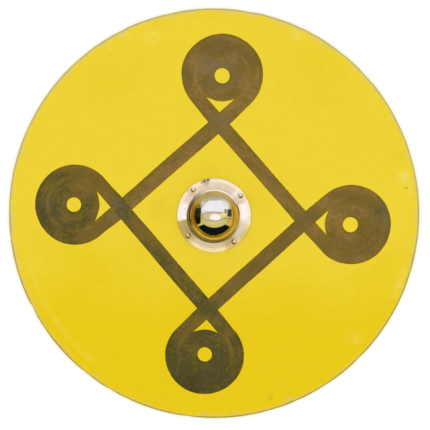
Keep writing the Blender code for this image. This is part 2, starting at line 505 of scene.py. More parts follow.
# Where the brown is greyer: x, y, radius and strength
GREY_PATCHES = (
    (0.011, 0.196, 0.036, 0.8),
    (-0.203, 0.013, 0.036, 0.9),
    (0.196, -0.016, 0.03, 0.3),
    (0.005, 0.312, 0.07, 0.75),
    (0.38, 0.005, 0.06, 0.7),
    (-0.35, 0.02, 0.055, 0.4),
    (-0.01, -0.34, 0.06, 0.25),
)
BROWN_SMEARS = (
    (-0.118, 0.014, 0.04, 0.22),
    (-0.007, 0.094, 0.026, 0.16),
    (0.03, -0.108, 0.034, 0.1),
)
DARK_SPECKS = (
    (0.1217, -0.3955, 0.0095, 0.2),
    (0.4112, 0.0573, 0.0035, 0.7),
    (-0.2646, 0.1346, 0.0022, 0.5),
    (-0.1616, 0.1603, 0.0022, 0.5),
    (-0.2217, 0.3406, 0.0022, 0.45),
)
# One layer of wood in the rim's edge; the fibres of every other layer end there
EDGE_LAYER = 0.0016


def on_rim(flat):
    """The nearest place on the rim's circle."""
    return unit(flat) * RIM_RADIUS


def painted_face():
    """Yellow paint with the brown knot over it, rubbed through at the rim."""
    material, place = start_material("painted_face", specular=0.12)
    flat = place * FLAT
    radius = length(flat)

    # The yellow ground: slow clouds, small mottling and the last strokes of a broad brush.
    # It is paler towards the top as painted sheen and deeper below as painted shade
    clouds = texture(flat, 5.0, 4.0)
    mottle = texture(flat, 60.0, 3.0, 0.6)
    lay_off_ridges, lay_off_load = streaks(flat * (0.0, 1.0, 0.0), axis_part(flat, "X"), 700.0, 7.0)
    # Painted light: a level that rises towards the top of the face, wavering with the slow clouds
    painted_light_by_height = (clouds - 0.5) * 0.3 + axis_part(flat, "Y")
    yellow = lay_coats(
        LOW_SHADED_YELLOW,
        (fade(painted_light_by_height, -0.25, -0.02), YELLOW),
        (fade(clouds, 0.5, 0.3, 0.0, 0.35), YELLOW_DEEP),
        (fade(mottle, 0.25, 0.8, 0.1, 0.0), YELLOW_DEEP, "MULTIPLY"),
        (fade(lay_off_load, 0.62, 0.85, 0.0, 0.12), YELLOW_RUBBED),
    )

    # The knot, a little unsteady and ragged at its edges, and how thin its brown is
    unsteady = wander(flat, 8.0, 1.0) * (0.003, 0.003, 0.0)
    ragged = wander(flat, 110.0) * (0.0012, 0.0012, 0.0)
    depth, along, across, warmth, streaky, seams = paint_knot(flat + unsteady + ragged)
    knot = fade(depth, -EDGE_BLUR, 0.0)
    ridges, load = streaks(along, across, 420.0, 14.0)
    thin = warmth + (ridges * 0.5 + load - 0.75) * streaky * 1.4
    thin += (texture(flat, 15.0, 4.0, 0.6) - 0.5) * 1.3
    thin += texture(flat, 170.0, 2.0, 0.7) - 0.5
    thin += seams * fade(texture(flat, 13.0), 0.42, 0.6) * 0.35
    for *spot, change in BROWN_LOADS:
        thin += near(flat, *spot) * change
    hue = texture(flat + (3.0, 0.0, 0.0), 40.0, 3.0, 0.75)
    # The brown greyed in patches
    greyer_brown = lay_coats(BROWN_GREY, (fade(thin, 0.5, -0.1), BROWN_GREY_DARK))
    brown = lay_coats(
        BROWN_THICK,
        (fade(thin, 0.0, 0.5), BROWN),
        (fade(thin, 0.5, 1.15), BROWN_THIN),
        (fade(thin, 0.0, -0.7), BROWN_DARK),
        (fade(hue, 0.52, 0.68, 0.0, 0.5), BROWN_RED),
        (fade(hue, 0.48, 0.35, 0.0, 0.6), BROWN_OLIVE),
        (add_marks(place, GREY_PATCHES, fade(hue, 0.35, 0.55)), greyer_brown),
        (fade(depth, 0.006, 0.001), BROWN_EDGE, "MULTIPLY"),
    )

    # Marks left by use
    broken = fade(texture(flat, 50.0, 4.0, 0.65), 0.34, 0.66)
    scuffs = add_marks(place, PALE_SMUDGES, broken)
    for first, last, middle, half_width, strength in RIM_SCUFFS:
        scuff = stripe(radius, middle, half_width) * strength * sector(flat, first, last, 6, 6)
        scuffs = most(scuffs, scuff * broken)
    smears = add_marks(place, BROWN_SMEARS, fade(texture(flat, 30.0), 0.3, 0.65))
    cells = add("TexVoronoi", Vector=flat, Scale=38.0)
    flecks = fade(cells["Distance"], 0.045, 0.02) * above(axis_part(cells["Color"], "X"), 0.94)

    # The rim, where the paint is rubbed to its primer and then to the wood
    from_rim = RIM_RADIUS - radius
    rim_place = on_rim(flat)
    rim_noise = texture(rim_place, 26.0, 3.0, 0.7)
    fine_noise = texture(flat, 150.0, 3.0, 0.7)
    rubbed_reach = fade(rim_noise, 0.35, 0.7, 0.005, 0.022)
    rubbed = fade(from_rim, rubbed_reach, 0.002) * fade(fine_noise, 0.3, 0.62, 0.25, 1.0)
    primer = lay_coats(PRIMER_PINK, (fade(texture(rim_place, 60.0, 1.0), 0.4, 0.6), PRIMER_LILAC))
    bare_reach = fade(rim_noise, 0.3, 0.8, 0.003, 0.0058)
    bare = fade(from_rim - fine_noise * 0.0016, bare_reach, 0.0018)
    # The bare wood is grey above and darker olive below, as painted shade
    bare_wood = lay_coats(SHADED_OLIVE_WOOD, (fade(painted_light_by_height, -0.28, 0.1), GREY_WOOD))

    colour = lay_coats(
        yellow,
        (knot, brown),
        (scuffs, YELLOW_RUBBED),
        (smears, SMEAR),
        (add_marks(place, DARK_SPECKS), DIRT),
        (flecks * 0.45, DIRT),
        (rubbed * 0.55, primer),
        (bare, bare_wood),
    )
    roughness = mix(knot, fade(mottle, 0.2, 0.8, 0.3, 0.36), fade(ridges, 0.3, 0.7, 0.34, 0.46))
    roughness = mix(bare, roughness, 0.75)
    height = mix(knot, lay_off_ridges * 0.35, ridges * 0.5 + 0.8)
    height = mix(bare, height, fine_noise * 0.8)
    return finish_surface(material, colour, roughness, height, 0.00008)


def worn_edge():
    """The rim's edge: layers of wood, greyed, with the yellow paint left in places."""
    material, place = start_material("worn_edge", specular=0.3)
    turned = on_rim(place * FLAT)
    layers = axis_part(place, "Z") / EDGE_LAYER
    glue = fade(fraction(layers + 0.2), 0.12, 0.0)
    end_grain = above(fraction(layers / 2 + 0.1), 0.5)
    fibres = texture(turned * 3.0 + place * UP * 12.0, 60.0, 3.0)
    left = fade(texture(turned, 18.0, 4.0, 0.7), 0.4, 0.55, 0.3, 0.8)
    dirt = fade(texture(turned, 9.0, 4.0, 0.7), 0.5, 0.75)
    colour = lay_coats(
        GREY_WOOD,
        (fade(fibres, 0.3, 0.7), PALE_WOOD),
        (end_grain * 0.35, OILED_WOOD),
        (glue * 0.6, DARK_GRAIN),
        (left, EDGE_YELLOW),
        (dirt * 0.45, DIRT),
    )
    return finish_surface(material, colour, fade(fibres, 0.2, 0.8, 0.7, 0.85), fibres - glue * 0.7, 0.0003)


def bare_back():
    """The unpainted back: a sheet of oiled wood, darker where the hand and arm rub it."""
    material, place = start_material("bare_back", specular=0.35)
    flat = place * FLAT
    radius = length(flat)
    grain = add("Group", options={"node_tree": GRAIN}, Vector=flat, Spread=46.0)
    tone = texture(flat * (1.0, 0.25, 1.0), 7.0, 3.0)
    handled = fade(tone * 0.06 + radius, 0.24, 0.06)
    runs = fade(texture(flat, 24.0, 4.0, 0.7), 0.44, 0.58)
    dribble = fade(radius, RIM_RADIUS - 0.012, RIM_RADIUS - 0.004) * runs
    colour = lay_coats(
        OILED_WOOD,
        (fade(tone, 0.3, 0.7), PALE_WOOD),
        (grain["Bands"] * 0.45, DARK_GRAIN),
        (fade(grain["Fibres"], 0.5, 0.8, 0.0, 0.35), DARK_GRAIN),
        (grain["Pores"] * 0.5, DIRT),
        (handled * 0.45, DARK_GRAIN),
        (dribble * 0.8, YELLOW_DEEP),
    )
    roughness = mix(handled, fade(grain["Fibres"], 0.3, 0.7, 0.58, 0.72), 0.42)
    height = grain["Fibres"] - grain["Pores"] * 0.6 + grain["Bands"] * 0.3
    return finish_surface(material, colour, roughness, height, 0.00025)


def grip_wood():
    """Close-grained wood along the grip, polished and darkened by the hand at its waist."""
    material, place = start_material("grip_wood", specular=0.4)
    along = turn(place, pi / 2 - GRIP_ANGLE)
    grain = add("Group", options={"node_tree": GRAIN}, Vector=along, Spread=170.0)
    tone = texture(along, 30.0, 3.0)
    held = fade(length(place), 0.085, 0.035) * fade(tone, 0.2, 0.7, 0.6, 1.0)
    colour = lay_coats(
        GRIP_WOOD,
        (fade(tone, 0.3, 0.7), GRIP_PALE),
        (grain["Bands"] * 0.6, GRIP_GRAIN),
        (grain["Pores"] * 0.6, GRIP_PORES),
        (held * 0.6, GRIP_HELD),
    )
    roughness = mix(held, fade(grain["Fibres"], 0.3, 0.7, 0.5, 0.65), 0.3)
    height = grain["Fibres"] * 0.7 - grain["Pores"] * 0.8
    return finish_surface(material, colour, roughness, height, 0.0002)


# ----- brass

BRASS = (0.62, 0.5, 0.31)
BRASS_GLINT = (1.0, 0.82, 0.5)
BRASS_GOLD = (0.68, 0.5, 0.17)
BRASS_SOFT_GOLD = (0.76, 0.545, 0.06)
BRASS_HAZE_REFLECTION = (0.6, 0.54, 0.37)
BRASS_PALE = (0.66, 0.575, 0.43)
BRASS_ROSY = (0.68, 0.57, 0.4)
BRASS_WARM = (0.485, 0.365, 0.215)
BRASS_LIT = (0.88, 0.77, 0.56)
BRASS_TARNISH_AND_SHADE = (0.3, 0.235, 0.075)
BRASS_DULL = (0.3, 0.2, 0.085)
BRASS_DARK = (0.075, 0.055, 0.03)
# The black of painted shadows at the flange's bent-looking edge
BEND_SHADOW_BLACK = (0.06, 0.05, 0.018)
BRASS_OLIVE = (0.17, 0.125, 0.03)
# Painted shade in the neck's hollow, a painted highlight above it, a painted shade tint and a painted shadow
# line
BRASS_HOLLOW_SHADE = (0.3, 0.205, 0.016)
BRASS_BROWN = (0.26, 0.16, 0.04)
BRASS_WORN = (0.66, 0.48, 0.26)
NECK_SHADE_TINT = (0.94, 0.88, 0.68)
NECK_SHADOW_LINE = (0.085, 0.06, 0.004)

# The flange's colours near the neck and at the edge, lighter at the edge as a painted highlight on its lip
FLANGE_REFLECTION_TONES = (0.51, 0.385, 0.212), (0.65, 0.49, 0.24)
# Zones of the flange, painted reflections of the room, bright at left and right and darker below: first and
# last direction in degrees, how softly each begins and ends, its strength, and its colours near the neck and
# at the edge
FLANGE_REFLECTION_ZONES = (
    ((200, 346, 20, 24), 1.0, (0.55, 0.43, 0.22), (0.78, 0.595, 0.245)),
    ((150, 188, 14, 2), 1.0, (0.655, 0.56, 0.4), (0.65, 0.52, 0.29)),
    ((-22, 24, 18, 3), 1.0, (0.655, 0.56, 0.4), (0.64, 0.5, 0.25)),
    ((-50, -10, 12, 14), 0.9, (0.57, 0.45, 0.28), (0.53, 0.39, 0.09)),
    ((24, 38, 3, 6), 0.8, (0.48, 0.37, 0.195), (0.56, 0.4, 0.15)),
    ((38, 53, 5, 6), 0.8, (0.58, 0.49, 0.29), (0.62, 0.52, 0.3)),
    ((127, 143, 6, 6), 0.8, (0.42, 0.31, 0.15), (0.46, 0.32, 0.15)),
    ((188, 240, 2, 28), 1.0, (0.29, 0.225, 0.048), (0.37, 0.245, 0.04)),
    ((284, 318, 10, 12), 0.9, (0.35, 0.27, 0.09), (0.56, 0.37, 0.06)),
)
# Painted shadows at the flange's edge, where it looks bent: x, y, radius and strength
FLANGE_BEND_SHADOWS = (
    (-0.017, 0.07, 0.011, 0.55),
    (-0.0215, 0.072, 0.0075, 1.0),
    (-0.014, 0.0745, 0.007, 1.0),
    (-0.0262, 0.0695, 0.0045, 0.8),
)
# Dirt round each rivet on the flange, with a painted shadow: each ring lies a little below its rivet
RIVET_DIRT_AND_SHADOW = tuple((rivet.x, rivet.y - 0.0009, 0.0074, 0.85) for rivet in map(rivet_centre, RIVETS))


def polished_brass():
    """The boss outside: a mirror on the dome, and a flange polished unevenly by hand.

    Reflections, highlights and shade are painted into the colours of both.
    """
    material, place = start_material("polished_brass", metallic=1.0)
    flat = place * FLAT
    radius = length(flat)
    spread = texture(flat, 45.0, 3.0)
    swept = flat + wander(flat, 30.0) * 0.008

    # The flange's colours: painted reflections, a painted highlight at its lip, painted shadows where its
    # edge looks bent, and dirt with a painted shadow round each rivet
    on_flange = fade(radius, DOME_RADIUS + 0.002, DOME_RADIUS + NECK_FILLET)
    near_neck, at_edge = FLANGE_REFLECTION_TONES
    for zone, strength, inner_tone, outer_tone in FLANGE_REFLECTION_ZONES:
        on = sector(swept, *zone) * fade(spread, 0.2, 0.6, 0.8 * strength, strength)
        near_neck = lay_coats(near_neck, (on, inner_tone))
        at_edge = lay_coats(at_edge, (on, outer_tone))
    flange = lay_coats(
        near_neck,
        (fade(length(swept), FLANGE_RADIUS - 0.013, FLANGE_RADIUS - 0.005), at_edge),
        (fade(spread, 0.55, 0.75, 0.0, 0.25), BRASS_PALE),
        (add_marks(swept, FLANGE_BEND_SHADOWS), BEND_SHADOW_BLACK),
        (add_marks(flat, RIVET_DIRT_AND_SHADOW), BRASS_OLIVE),
    )

    # The dome, with reflections painted in: golden towards its foot and a duller gold low down, where it
    # mirrors the yellow board, browner at the left with a brown streak below, and a grey-tan tint on its
    # upper side, which is also hazed and rougher there
    brown = within(radius, 0.036, 0.039, 0.047, 0.053) * sector(flat, 130, 225, 30, 30)
    streak = stripe(radius, 0.0436, 0.003, 0.0006) * sector(flat, 225, 302, 22, 22)
    dull = fade(radius, DOME_RADIUS * 0.86, DOME_RADIUS * 0.93) * sector(flat, 185, 352, 30, 30)
    haze_and_painted_reflection = fade(radius, 0.035, 0.042) * sector(flat, 10, 160, 40, 40)
    dome = lay_coats(
        BRASS,
        (fade(radius, DOME_RADIUS * 0.8, DOME_RADIUS * 0.92), BRASS_GOLD),
        (brown * 0.85, BRASS_BROWN),
        (streak * 0.9, BRASS_BROWN),
        (dull, BRASS_SOFT_GOLD),
        (haze_and_painted_reflection, BRASS_HAZE_REFLECTION),
        (haze_and_painted_reflection * fade(radius, 0.047, 0.052), BRASS_ROSY),
    )

    # The neck, with light and shade painted in: a black painted shadow line at its foot, lying a little to
    # the left and below, painted shade in the hollow beside it, a painted highlight above, and a painted
    # shade over the neck
    neck_radius = length(flat + (0.0012, 0.0016, 0.0))
    neck_shadow_line = stripe(neck_radius, DOME_RADIUS + 0.0034, 0.0027, 0.001)
    neck_shadow_line *= sector(flat, 100, 315, 50, 30) * 0.82 + 0.12
    hollow_shade = fade(radius, DOME_RADIUS - 0.0008, DOME_RADIUS + 0.0008) * sector(flat, 165, 350, 35, 35)
    hollow_shade *= fade(neck_radius, DOME_RADIUS + 0.0062, DOME_RADIUS + 0.0046)
    lit = within(radius, 0.05, 0.052, 0.0538, 0.0558) * sector(flat, 8, 155, 30, 30)
    colour = lay_coats(
        dome,
        (on_flange, flange),
        (fade(spread, 0.35, 0.7, 0.0, 0.1), BRASS_WARM),
        (hollow_shade * 0.85, BRASS_HOLLOW_SHADE),
        (lit, BRASS_LIT),
        (within(radius, 0.053, 0.0545, 0.059, 0.061) * 0.8, NECK_SHADE_TINT, "MULTIPLY"),
        (neck_shadow_line, NECK_SHADOW_LINE),
    )

    scratched = most(scratches(place, 0.5, 0.004, 0.5), scratches(place, -1.1, 0.005, 0.4))
    mirror = mix(haze_and_painted_reflection, fade(spread, 0.3, 0.7, 0.025, 0.045), 0.34)
    roughness = mix(on_flange, mirror, fade(spread, 0.3, 0.7, 0.16, 0.26))
    roughness += scratched * mix(on_flange, 0.02, 0.1)
    height = (texture(flat, 85.0) - scratched * 0.2) * on_flange
    feed(shader_of(material)["Specular Tint"], BRASS_GLINT)
    # Less metallic where the duller gold of the painted reflection lies
    feed(shader_of(material)["Metallic"], 1.0 - dull * 0.55)
    return finish_surface(material, colour, roughness, height, 0.0003)


def dull_brass():
    """The boss inside and the rivets' tails: brown and unpolished."""
    material, place = start_material("dull_brass", metallic=1.0)
    clouds = texture(place, 35.0, 4.0, 0.65)
    spots = texture(place, 140.0, 3.0)
    colour = lay_coats(
        BRASS_DULL,
        (fade(clouds, 0.3, 0.7), BRASS_TARNISH_AND_SHADE),
        (fade(spots, 0.52, 0.72, 0.0, 0.7), BRASS_DARK),
    )
    return finish_surface(material, colour, fade(clouds, 0.3, 0.7, 0.34, 0.52), clouds + spots * 0.4, 0.0005)


def rivet_brass():
    """Rivet heads: worn bright on top, and dark where they meet the flange.

    The dark sides are partly tarnish and partly painted shade.
    """
    material, place = start_material("rivet_brass", metallic=1.0)
    dents = texture(place, 260.0)
    facing_up = axis_part(source(material.node_tree, "NewGeometry")["Normal"], "Z")
    colour = lay_coats(
        BRASS_WORN,
        # Painted shade with tarnish: the more a head's side faces away from up, the darker
        (fade(facing_up, 0.75, 0.35), BRASS_TARNISH_AND_SHADE),
        (fade(dents, 0.5, 0.75, 0.0, 0.4), BRASS_DARK),
    )
    return finish_surface(material, colour, fade(dents, 0.3, 0.7, 0.16, 0.3), dents, 0.0003)


# ----- turned shapes

class Turning:
    """A body turned round the Z axis, stretch by stretch along its profile of (radius, height) points.

    One sector is turned, and its copies complete the round."""

    SECTORS = 12

    def __init__(self, steps, start):
        self.shape = bmesh.new()
        self.steps = steps // self.SECTORS
        self.end = start

    def follow(self, points, material):
        """Turns the next stretch, which starts where the last one ended."""
        points = [self.end, *points[1:]]
        self.end = points[-1]
        shape = self.shape
        before = len(shape.faces)
        verts = [shape.verts.new((radius, 0.0, height)) for radius, height in points]
        edges = [shape.edges.new(pair) for pair in zip(verts, verts[1:])]
        bmesh.ops.spin(shape, geom=verts + edges, axis=UP, angle=2 * pi / self.SECTORS, steps=self.steps)
        shape.faces.ensure_lookup_table()
        for face in shape.faces[before:]:
            face.material_index = material

    def run_to(self, point, steps, material):
        """Turns a straight stretch to a point, in so many steps."""
        start = Vector(self.end)
        self.follow([tuple(start.lerp(point, step / steps)) for step in range(steps + 1)], material)

    def close(self):
        """Completes the round, joins the stretches and turns every face outwards."""
        shape = self.shape
        wedge = shape.verts[:] + shape.edges[:] + shape.faces[:]
        for index in range(1, self.SECTORS):
            copy = bmesh.ops.duplicate(shape, geom=wedge)["geom"]
            verts = [item for item in copy if isinstance(item, bmesh.types.BMVert)]
            turned = Matrix.Rotation(2 * pi * index / self.SECTORS, 3, "Z")
            bmesh.ops.rotate(shape, verts=verts, matrix=turned)
        bmesh.ops.remove_doubles(shape, verts=shape.verts, dist=0.000002)
        bmesh.ops.dissolve_degenerate(shape, edges=shape.edges, dist=0.000001)
        bmesh.ops.recalc_face_normals(shape, faces=shape.faces)
        return shape


def arc(centre, radius, start, end, steps):
    """Points (radius, height) on an arc, both ends included, with angles from the outward direction."""
    angles = [start + (end - start) * step / steps for step in range(steps + 1)]
    return [(centre[0] + radius * cos(a), centre[1] + radius * sin(a)) for a in angles]


def new_object(name, shape):
    """Makes a bmesh an object in the scene."""
    mesh = bpy.data.meshes.new(name)
    shape.to_mesh(mesh)
    shape.free()
    made = bpy.data.objects.new(name, mesh)
    scene.collection.objects.link(made)
    return made


def place_piece(name, shape, materials, node, sharp_degrees=40):
    """Makes a bmesh a piece that stands for a CAD node."""
    piece = new_object(name, shape)
    for material in materials:
        piece.data.materials.append(material)
    piece.data.shade_smooth()
    piece.data.set_sharp_from_angle(angle=radians(sharp_degrees))
    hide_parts(node)
    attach(piece, "root")
    return piece


def smooth_step(value, low, high):
    share = min(1.0, max(0.0, (value - low) / (high - low)))
    return share * share * (3 - 2 * share)


# ----- board

BOARD_STEPS = 540
FACE_STEPS = 72
BACK_STEPS = 30
PAINTED, EDGE, BACK = range(3)
HALF_BOARD = BOARD_THICKNESS / 2
SEAT_HEIGHT = BOARD_FACE - HALF_BOARD
ROUNDING_REACH = (HALF_BOARD - RIM_ROUNDING) * sin(DISH_ANGLE)
RIM_MIDDLE_RADIUS = RIM_RADIUS - ROUNDING_REACH - RIM_ROUNDING * (1 - cos(DISH_ANGLE))
DISH_CURVE = (RIM_MIDDLE_RADIUS - SEAT_RADIUS) / sin(DISH_ANGLE)
RIM_MIDDLE_HEIGHT = SEAT_HEIGHT - DISH_CURVE * (1 - cos(DISH_ANGLE))

BOARD_WAVE = 0.00045
RIM_NICKS = 26
NICK_HALF_WIDTHS = (0.006, 0.022)
NICK_DEPTHS = (0.0002, 0.0011)
RIM_WEAR = 0.00035


def dish_line(offset, end_angle, steps):
    """The dish from the seat's edge outwards, moved off the board's middle line: up is positive."""
    centre = (SEAT_RADIUS, SEAT_HEIGHT - DISH_CURVE)
    return arc(centre, DISH_CURVE + offset, pi / 2, pi / 2 - end_angle, steps)


def make_board():
    edge = Vector((sin(DISH_ANGLE), cos(DISH_ANGLE)))
    outward = Vector((cos(DISH_ANGLE), -sin(DISH_ANGLE)))
    middle = Vector((RIM_MIDDLE_RADIUS, RIM_MIDDLE_HEIGHT))
    rounding_centre = middle + edge * (HALF_BOARD - RIM_ROUNDING) - outward * RIM_ROUNDING
    rounding = arc(rounding_centre, RIM_ROUNDING, pi / 2 - DISH_ANGLE, -DISH_ANGLE, 8)
    foot_outside = middle - edge * (RIM_MIDDLE_HEIGHT / edge.y)
    foot_angle = acos((DISH_CURVE - SEAT_HEIGHT) / (DISH_CURVE - HALF_BOARD))
    back = dish_line(-HALF_BOARD, foot_angle, BACK_STEPS)[::-1]
    hole_edge = (HOLE_RADIUS, BOARD_FACE)

    board = Turning(BOARD_STEPS, hole_edge)
    board.run_to((SEAT_RADIUS, BOARD_FACE), 6, PAINTED)
    face = dish_line(HALF_BOARD, DISH_ANGLE - RIM_ROUNDING / DISH_CURVE, FACE_STEPS)
    board.follow(face[:-1] + rounding[:3], PAINTED)
    board.follow(rounding[2:], EDGE)
    board.run_to(foot_outside, 3, EDGE)
    board.run_to(back[0], 2, BACK)
    board.follow(back, BACK)
    board.run_to((HOLE_RADIUS, back[-1][1]), 4, BACK)
    board.run_to(hole_edge, 3, BACK)
    shape = board.close()
    age_board(shape)
    materials = [painted_face(), worn_edge(), bare_back()]
    return place_piece("painted_board", shape, materials, "board")


def age_board(shape):
    """Gives the board the slight waves of real wood, and small dents along its rim."""
    chance = random.Random(7)
    nicks = []
    for _ in range(RIM_NICKS):
        centre = chance.uniform(0, 2 * pi)
        nicks.append((centre, chance.uniform(*NICK_HALF_WIDTHS), chance.uniform(*NICK_DEPTHS)))
    for vert in shape.verts:
        place = vert.co.xy.to_3d()
        radius = place.length
        angle = atan2(place.y, place.x)
        free = smooth_step(radius, 0.085, 0.14) * smooth_step(radius, RIM_RADIUS - 0.012, RIM_RADIUS - 0.04)
        vert.co.z += free * BOARD_WAVE * (noise(place * 9) + 0.4 * noise(place * 24))
        cut = RIM_WEAR * (0.5 + 0.5 * noise(place * 30))
        for centre, half_width, depth in nicks:
            away = abs((angle - centre + pi) % (2 * pi) - pi) * RIM_RADIUS
            cut += depth * exp(-((away / half_width) ** 2))
        vert.co.xy *= 1 - smooth_step(radius, RIM_RADIUS - 0.01, RIM_RADIUS - 0.001) * cut / radius


# ----- boss

BOSS_STEPS = 288
POLISHED, DULL = range(2)
FLANGE_TOP = FLANGE_UNDERSIDE + BOSS_THICKNESS
DOME_CENTRE = (0.0, FLANGE_TOP + DOME_WALL)
NECK_CENTRE = (DOME_RADIUS + NECK_FILLET, FLANGE_TOP + NECK_FILLET)
LIP_ROUNDING = BOSS_THICKNESS * 0.45
LIP_CENTRE = (FLANGE_RADIUS - LIP_ROUNDING, FLANGE_TOP - LIP_ROUNDING)

FLANGE_WAVE = 0.00022
FLANGE_RISE = 0.0006


def make_boss():
    inside_radius = DOME_RADIUS - BOSS_THICKNESS
    boss = Turning(BOSS_STEPS, (0.0, DOME_CENTRE[1] + DOME_RADIUS))
    boss.follow(arc(DOME_CENTRE, DOME_RADIUS, pi / 2, 0.0, 48), POLISHED)
    boss.run_to((DOME_RADIUS, NECK_CENTRE[1]), 3, POLISHED)
    boss.follow(arc(NECK_CENTRE, NECK_FILLET, pi, 1.5 * pi, 10), POLISHED)
    boss.run_to((LIP_CENTRE[0], FLANGE_TOP), 12, POLISHED)
    boss.follow(arc(LIP_CENTRE, LIP_ROUNDING, pi / 2, 0.0, 4), POLISHED)
    boss.run_to((FLANGE_RADIUS, FLANGE_UNDERSIDE), 1, POLISHED)
    boss.run_to((NECK_CENTRE[0], FLANGE_UNDERSIDE), 8, DULL)
    boss.follow(arc(NECK_CENTRE, NECK_FILLET + BOSS_THICKNESS, 1.5 * pi, pi, 8), DULL)
    boss.run_to((inside_radius, DOME_CENTRE[1]), 3, DULL)
    boss.follow(arc(DOME_CENTRE, inside_radius, 0.0, pi / 2, 32), DULL)
    shape = boss.close()
    work_flange(shape)
    return place_piece("domed_boss", shape, [polished_brass(), dull_brass()], "boss", 50)


def work_flange(shape):
    """Raises the flange towards the neck and gives it shallow waves from the hammer, flat at the rivets."""
    rivets = [rivet_centre(name) for name in RIVETS]
    for vert in shape.verts:
        place = vert.co.xy.to_3d()
        radius = place.length
        if radius < DOME_RADIUS - 2 * BOSS_THICKNESS or vert.co.z > FLANGE_TOP + NECK_FILLET + BOSS_THICKNESS:
            continue
        inwards = smooth_step(radius, FLANGE_RADIUS - 0.001, DOME_RADIUS)
        free = smooth_step(min((place.xy - rivet).length for rivet in rivets), 0.006, 0.02)
        low = smooth_step(vert.co.z, FLANGE_TOP + NECK_FILLET, FLANGE_TOP + 0.001)
        vert.co.z += low * free * (FLANGE_WAVE * (1 + noise(place * 26)) + FLANGE_RISE * inwards)


# ----- rivets

RIVET_STEPS = 36
HEAD, TAIL = range(2)
# How far the underside of a head lies above the flange, and a hole's wall from its rivet's shank
HEAD_CLEARANCE = 0.0003
HOLE_CLEARANCE = 0.0003
TAIL_HEIGHT = 0.002
TAIL_RADIUS = 0.005
TAIL_EDGE = TAIL_RADIUS * 0.96
HEAD_LEAN = 0.00012
HEAD_DENTS = 0.00016


def make_rivet(index, name):
    """One rivet: a head dented by the hammer, a shank, and a spread tail behind."""
    low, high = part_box(name)
    head_radius = (high.x - low.x) / 2
    seat = FLANGE_TOP + HEAD_CLEARANCE
    head_height = high.z - seat
    sphere_radius = (head_radius**2 + head_height**2) / (2 * head_height)
    reach = asin(head_radius / sphere_radius)
    back = low.z + TAIL_HEIGHT
    tail_centre = (TAIL_EDGE - TAIL_HEIGHT / 2, back - TAIL_HEIGHT / 2)

    rivet = Turning(RIVET_STEPS, (0.0, high.z))
    rivet.follow(arc((0.0, high.z - sphere_radius), sphere_radius, pi / 2, pi / 2 - reach, 12), HEAD)
    rivet.run_to((head_radius * 0.97, seat), 1, HEAD)
    rivet.run_to((SHANK_RADIUS, seat), 1, HEAD)
    rivet.run_to((SHANK_RADIUS, back), 4, TAIL)
    rivet.run_to((TAIL_EDGE, back), 2, TAIL)
    tail = arc(tail_centre, TAIL_HEIGHT / 2, pi / 2, -pi / 2, 6)
    rivet.follow([*tail, (0.0, low.z)], TAIL)
    shape = rivet.close()
    lean = random.Random(40 + index).uniform(0, 2 * pi)
    for vert in shape.verts:
        place = vert.co * 420 + Vector((index * 9.0, 0.0, 0.0))
        worn = smooth_step(vert.co.xy.length, SHANK_RADIUS, TAIL_RADIUS)
        vert.co.xy *= min(1.0, 1 + 0.05 * noise(place) * worn)
        if vert.co.z > seat + 0.0002:
            vert.co.z -= HEAD_LEAN * (1 + cos(atan2(vert.co.y, vert.co.x) - lean))
            vert.co.z -= HEAD_DENTS * (1 + noise(place * 0.8))
    bmesh.ops.translate(shape, verts=shape.verts, vec=(*rivet_centre(name), 0.0))
    place_piece(f"{name}_brass", shape, [RIVET_BRASS, RIVET_TAIL_BRASS], name, 60)


# ----- grip

GRIP_LENGTH = 0.184
GRIP_CUTS = 63
GRIP_END_WIDTH = 0.036
GRIP_WAIST_WIDTH = 0.028
GRIP_WAIST_THICKNESS = 0.024
STRAIGHT_SHARE = 0.2
WAIST_SHARE = 0.42
LANDING_SHARE = 0.62
GRIP_ROUNDING = 0.006
CARVING_WAVE = 0.0004
CARVING_CUTS = 0.0003


def make_grip():
    """A carved bar, flat where it lies on the board and deeper and narrower at its waist."""
    shape = bmesh.new()
    bmesh.ops.create_cube(shape, size=1.0)
    lengthwise = [edge for edge in shape.edges if abs(edge.verts[0].co.x - edge.verts[1].co.x) > 0.5]
    bmesh.ops.subdivide_edges(shape, edges=lengthwise, cuts=GRIP_CUTS, use_grid_fill=True)
    for vert in shape.verts:
        share = 2 * abs(vert.co.x)
        landing = smooth_step(share, WAIST_SHARE, LANDING_SHARE)
        widening = max(0.0, (share - STRAIGHT_SHARE) / (1 - STRAIGHT_SHARE)) ** 2
        vert.co.x *= GRIP_LENGTH
        vert.co.y *= GRIP_WAIST_WIDTH + (GRIP_END_WIDTH - GRIP_WAIST_WIDTH) * widening
        thickness = GRIP_WAIST_THICKNESS + (GRIP_END_THICKNESS - GRIP_WAIST_THICKNESS) * landing
        vert.co.z = (vert.co.z - 0.5) * thickness
    corners = [edge for edge in shape.edges if edge.calc_face_angle(0.0) > radians(50)]
    shaping = {"affect": "EDGES", "segments": 6, "profile": 0.5, "material": -1, "clamp_overlap": True}
    bmesh.ops.bevel(shape, geom=corners, offset=GRIP_ROUNDING, **shaping)
    bmesh.ops.remove_doubles(shape, verts=shape.verts, dist=0.00001)
    bmesh.ops.recalc_face_normals(shape, faces=shape.faces)
    for vert in shape.verts:
        below = smooth_step(-vert.co.z, 0.002, 0.008)
        vert.co.y += below * CARVING_WAVE * noise(vert.co * 40)
        vert.co.z += below * CARVING_CUTS * (1 + noise(vert.co * 55))
    place = Matrix.Translation((0.0, 0.0, GRIP_TOP)) @ Matrix.Rotation(GRIP_ANGLE, 4, "Z")
    bmesh.ops.transform(shape, matrix=place, verts=shape.verts)
    return place_piece("carved_grip", shape, [grip_wood()], "grip", 50)


